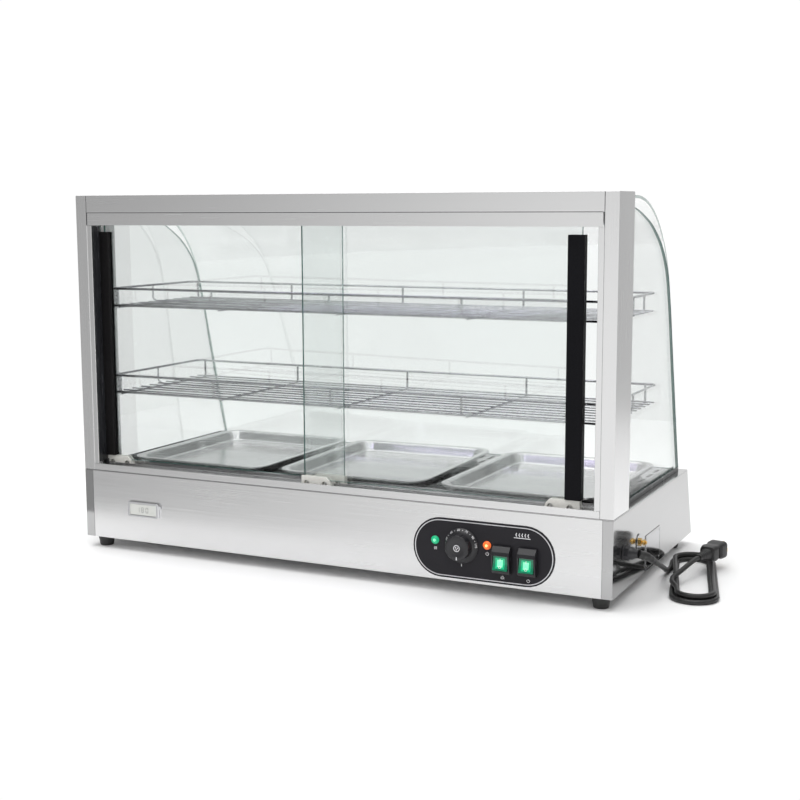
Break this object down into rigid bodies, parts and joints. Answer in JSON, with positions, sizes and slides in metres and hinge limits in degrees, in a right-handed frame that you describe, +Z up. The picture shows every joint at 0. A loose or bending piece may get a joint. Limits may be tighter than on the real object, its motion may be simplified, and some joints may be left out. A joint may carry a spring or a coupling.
{
  "type": "hot food display case",
  "caption": "Counter-top heated food display case with glass on all sides, a curved customer-side glass, sliding doors, wire shelves and trays.",
  "frame": {"origin": "centre of the bottom of the bounding box without the mains cord and plug, on the surface the feet stand on", "axes": "+X along the width, to the right as seen from the operator side with the doors and controls; +Y from the operator side to the customer side; +Z up"},
  "size_m": [1.0212, 0.4643, 0.575],
  "materials": {
    "stainless_satin": "satin stainless steel",
    "stainless_polished": "bright stainless steel",
    "chrome_wire": "bright plated wire",
    "chrome_trim": "bright plated trim",
    "clear_glass": "clear tempered glass with a faint green tint",
    "black_seal": "black extruded seal",
    "black_grip": "black, finely ribbed",
    "black_plastic": "black moulded plastic",
    "black_rubber": "black rubber",
    "bracket_cream": "off-white moulded plastic",
    "green_lens": "translucent green",
    "amber_lens": "translucent amber",
    "display_face": "pale display window",
    "lamp_white": "white lamp and housing",
    "brass": "plain brass",
    "element_steel": "heat-darkened steel"
  },
  "bodies": {
    "cabinet": {"base_pan": "stainless_satin", "control_plate": "black_plastic", "cord_gland": "black_rubber", "cord_hank": "black_rubber", "cord_lead": "black_rubber", "curved_glass": "clear_glass", "deck_plate": "stainless_polished", "display_bezel": "chrome_trim", "display_module": "display_face", "door_sill": "stainless_satin", "earth_bolt": "brass", "foot_front_left": "black_rubber", "foot_front_right": "black_rubber", "foot_rear_left": "black_rubber", "foot_rear_right": "black_rubber", "front_panel": "stainless_satin", "glass_seal_left": "black_seal", "glass_seal_right": "black_seal", "header": "stainless_satin", "heater_element": "element_steel", "heater_strap": "stainless_satin", "heating_lamp": "green_lens", "lamp_housing": "lamp_white", "lamp_tube": "lamp_white", "light_switch_housing": "black_plastic", "lower_shelf": "chrome_wire", "plug": "black_rubber", "post_left": "stainless_satin", "post_right": "stainless_satin", "post_seal_left": "black_seal", "post_seal_right": "black_seal", "power_lamp": "amber_lens", "power_switch_housing": "black_plastic", "rating_plate": "stainless_satin", "rear_panel": "stainless_satin", "side_glass_left": "clear_glass", "side_glass_right": "clear_glass", "side_panel_left": "stainless_polished", "side_panel_right": "stainless_polished", "thermostat_body": "black_plastic", "upper_shelf": "chrome_wire", "upper_track": "stainless_satin"},
    "right_door": {"right_door_glass": "clear_glass", "right_door_handle": "black_grip", "right_door_bracket_left": "bracket_cream", "right_door_bracket_right": "bracket_cream"},
    "left_door": {"left_door_glass": "clear_glass", "left_door_handle": "black_grip", "left_door_bracket_left": "bracket_cream", "left_door_bracket_right": "bracket_cream"},
    "right_door_roller_left": {"right_door_roller_left": "black_plastic"},
    "right_door_roller_right": {"right_door_roller_right": "black_plastic"},
    "left_door_roller_left": {"left_door_roller_left": "black_plastic"},
    "left_door_roller_right": {"left_door_roller_right": "black_plastic"},
    "thermostat_knob": {"thermostat_knob": "black_plastic"},
    "light_switch_rocker": {"light_switch_rocker": "green_lens"},
    "power_switch_rocker": {"power_switch_rocker": "green_lens"},
    "tray_left": {"tray_left": "stainless_polished"},
    "tray_middle": {"tray_middle": "stainless_polished"},
    "tray_right": {"tray_right": "stainless_polished"}
  },
  "joints": [
    {"name": "right_door_slide", "type": "slide", "parent": "cabinet", "child": "right_door", "axis": [1, 0, 0], "range_m": [-0.377, 0.0285]},
    {"name": "left_door_slide", "type": "slide", "parent": "cabinet", "child": "left_door", "axis": [1, 0, 0], "range_m": [0, 0.411]},
    {"name": "right_door_roller_left_spin", "type": "hinge", "parent": "right_door", "child": "right_door_roller_left", "pos_m": [-0.0456, -0.19025, 0.1383], "axis": [0, 1, 0], "continuous": true},
    {"name": "right_door_roller_right_spin", "type": "hinge", "parent": "right_door", "child": "right_door_roller_right", "pos_m": [0.376, -0.19025, 0.1383], "axis": [0, 1, 0], "continuous": true},
    {"name": "left_door_roller_left_spin", "type": "hinge", "parent": "left_door", "child": "left_door_roller_left", "pos_m": [-0.425, -0.17225, 0.1383], "axis": [0, 1, 0], "continuous": true},
    {"name": "left_door_roller_right_spin", "type": "hinge", "parent": "left_door", "child": "left_door_roller_right", "pos_m": [-0.001, -0.17225, 0.1383], "axis": [0, 1, 0], "continuous": true},
    {"name": "thermostat_turn", "type": "hinge", "parent": "cabinet", "child": "thermostat_knob", "pos_m": [0.2192, -0.212, 0.0718], "axis": [0, 1, 0], "range_deg": [0, 270]},
    {"name": "light_switch_rocker_tilt", "type": "hinge", "parent": "cabinet", "child": "light_switch_rocker", "pos_m": [0.2827, -0.2215, 0.0547], "axis": [1, 0, 0], "range_deg": [0, 20]},
    {"name": "power_switch_rocker_tilt", "type": "hinge", "parent": "cabinet", "child": "power_switch_rocker", "pos_m": [0.3217, -0.2215, 0.0552], "axis": [1, 0, 0], "range_deg": [0, 20]},
    {"name": "tray_left_lift", "type": "slide", "parent": "cabinet", "child": "tray_left", "axis": [0, 0, 1], "range_m": [0, 0.06]},
    {"name": "tray_middle_lift", "type": "slide", "parent": "cabinet", "child": "tray_middle", "axis": [0, 0, 1], "range_m": [0, 0.06]},
    {"name": "tray_right_lift", "type": "slide", "parent": "cabinet", "child": "tray_right", "axis": [0, 0, 1], "range_m": [0, 0.06]}
  ],
  "couplings": [
    {"joint": "right_door_roller_left_spin", "follows": "right_door_slide", "rad_per_m": 250},
    {"joint": "right_door_roller_right_spin", "follows": "right_door_slide", "rad_per_m": 250},
    {"joint": "left_door_roller_left_spin", "follows": "left_door_slide", "rad_per_m": 250},
    {"joint": "left_door_roller_right_spin", "follows": "left_door_slide", "rad_per_m": 250}
  ]
}
